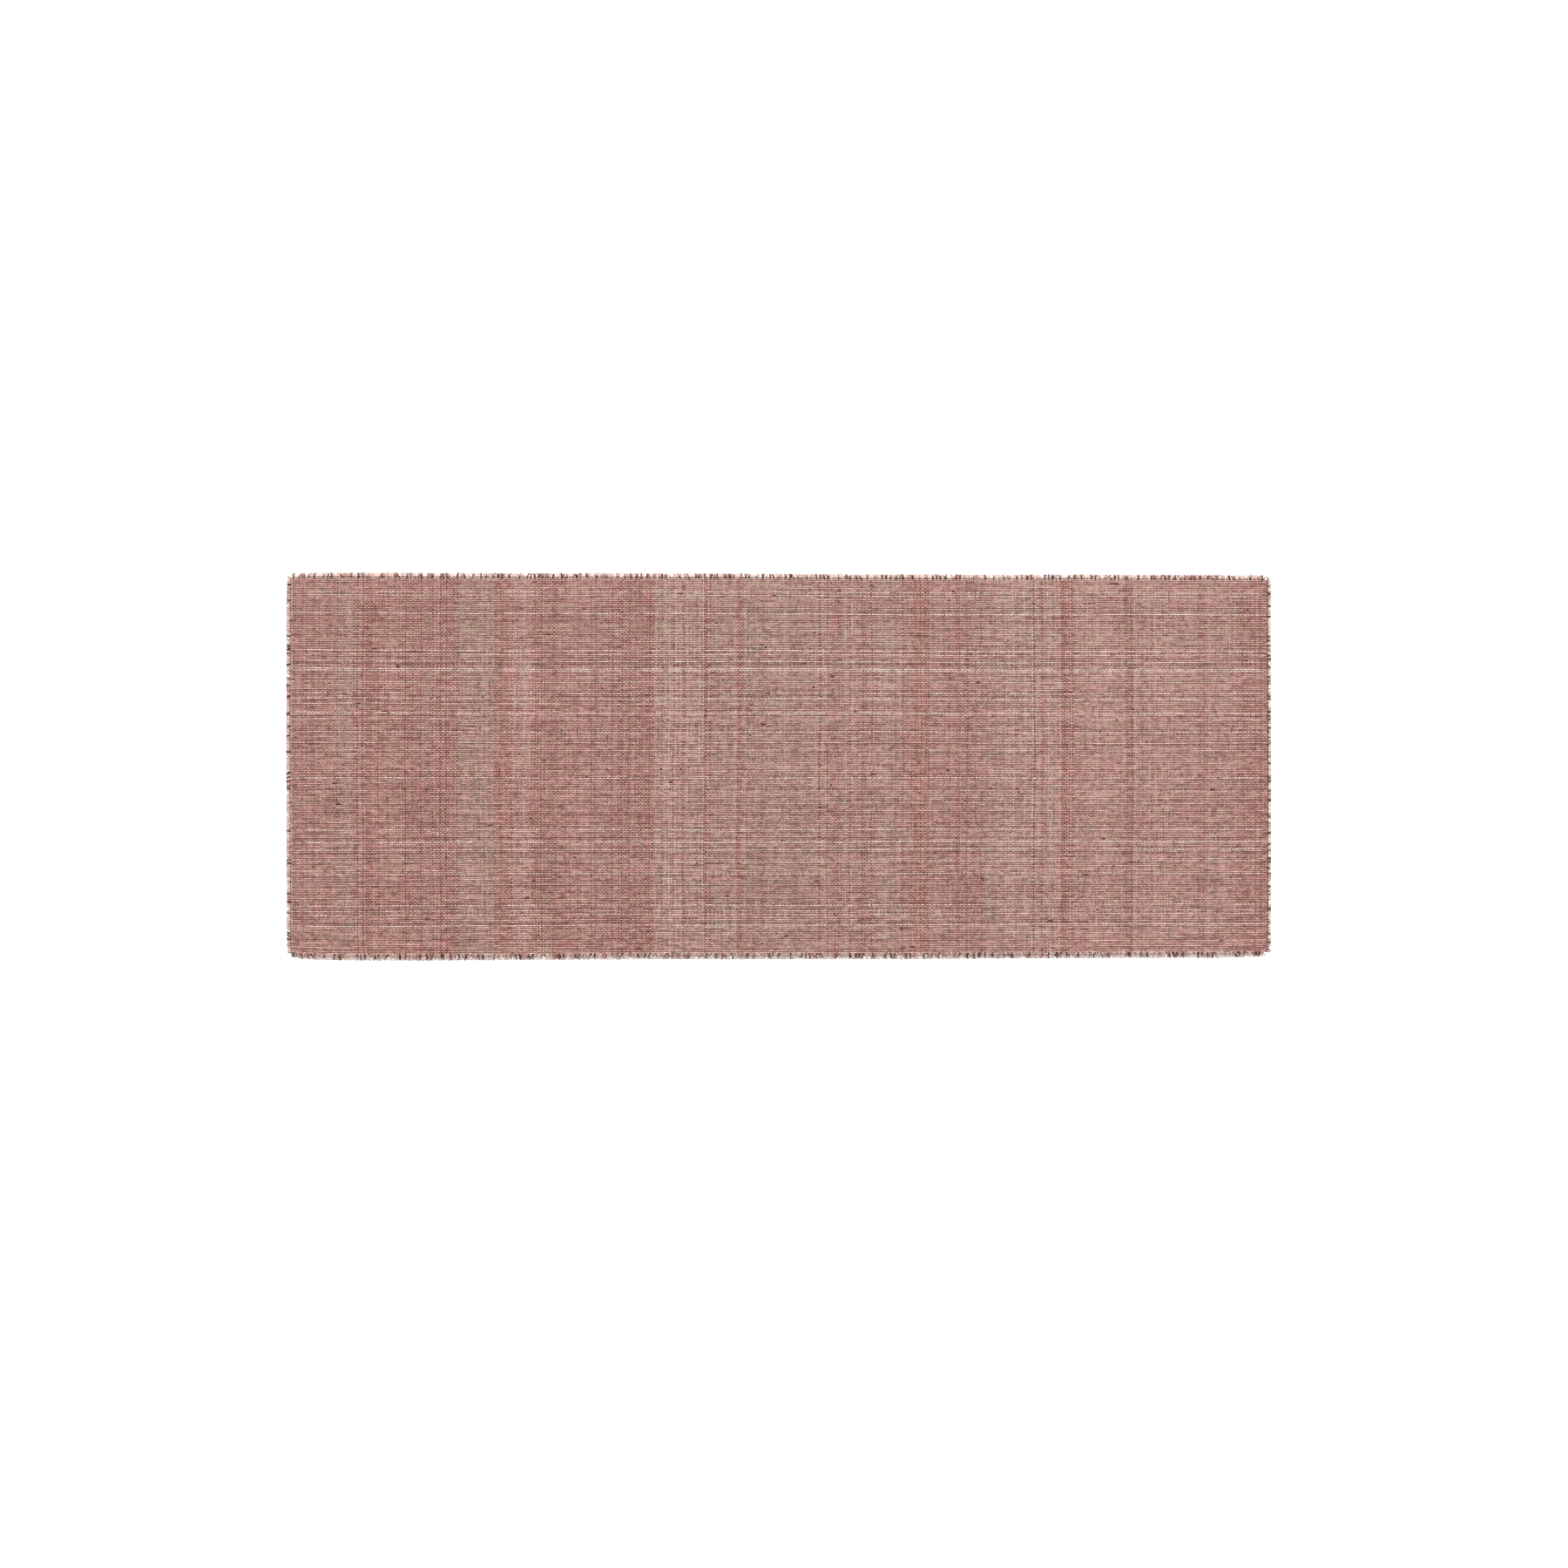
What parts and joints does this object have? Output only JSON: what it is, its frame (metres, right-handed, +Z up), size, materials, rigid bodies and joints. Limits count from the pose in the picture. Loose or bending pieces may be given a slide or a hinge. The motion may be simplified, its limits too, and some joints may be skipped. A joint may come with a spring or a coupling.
{
  "type": "table runner",
  "caption": "Rectangular woven table runner with lengthwise ribs, crosswise dye bands, seamed edges and short frayed yarn ends on all four sides, lying flat.",
  "frame": {"origin": "middle of the underside, where the runner lies on the table", "axes": "+X along the runner, +Y across it, +Z up, out of the face"},
  "size_m": [0.914, 0.358, 0.0019],
  "materials": {
    "cream_yarn": "undyed cream wool-mix yarn, loosely spun, matt",
    "pale_rose_yarn": "pale rose wool-mix yarn, loosely spun, matt",
    "rose_yarn": "rose wool-mix yarn, loosely spun, matt",
    "mauve_yarn": "mauve wool-mix yarn, loosely spun, matt",
    "taupe_yarn": "taupe wool-mix yarn, loosely spun, matt",
    "dark_brown_yarn": "dark brown wool-mix yarn with slubs, matt",
    "brick_yarn": "brick red wool-mix yarn, loosely spun, matt",
    "rust_yarn": "rust wool-mix yarn, loosely spun, matt",
    "pale_taupe_yarn": "pale taupe wool-mix yarn, loosely spun, matt",
    "seam_thread": "reddish brown sewing thread, matt"
  },
  "bodies": {
    "root": {"lengthwise_yarns_cream": "cream_yarn", "lengthwise_yarns_pale_rose": "pale_rose_yarn", "lengthwise_yarns_rose": "rose_yarn", "lengthwise_yarns_mauve": "mauve_yarn", "lengthwise_yarns_taupe": "taupe_yarn", "lengthwise_yarns_dark_brown": "dark_brown_yarn", "crosswise_yarns_rose": "rose_yarn", "crosswise_yarns_taupe": "taupe_yarn", "crosswise_yarns_brick": "brick_yarn", "crosswise_yarns_rust": "rust_yarn", "crosswise_yarns_mauve": "mauve_yarn", "crosswise_yarns_pale_rose": "pale_rose_yarn", "crosswise_yarns_pale_taupe": "pale_taupe_yarn", "needle_thread_front": "seam_thread", "bobbin_thread_front": "seam_thread", "needle_thread_back": "seam_thread", "bobbin_thread_back": "seam_thread", "needle_thread_left": "seam_thread", "bobbin_thread_left": "seam_thread", "needle_thread_right": "seam_thread", "bobbin_thread_right": "seam_thread"}
  },
  "joints": []
}
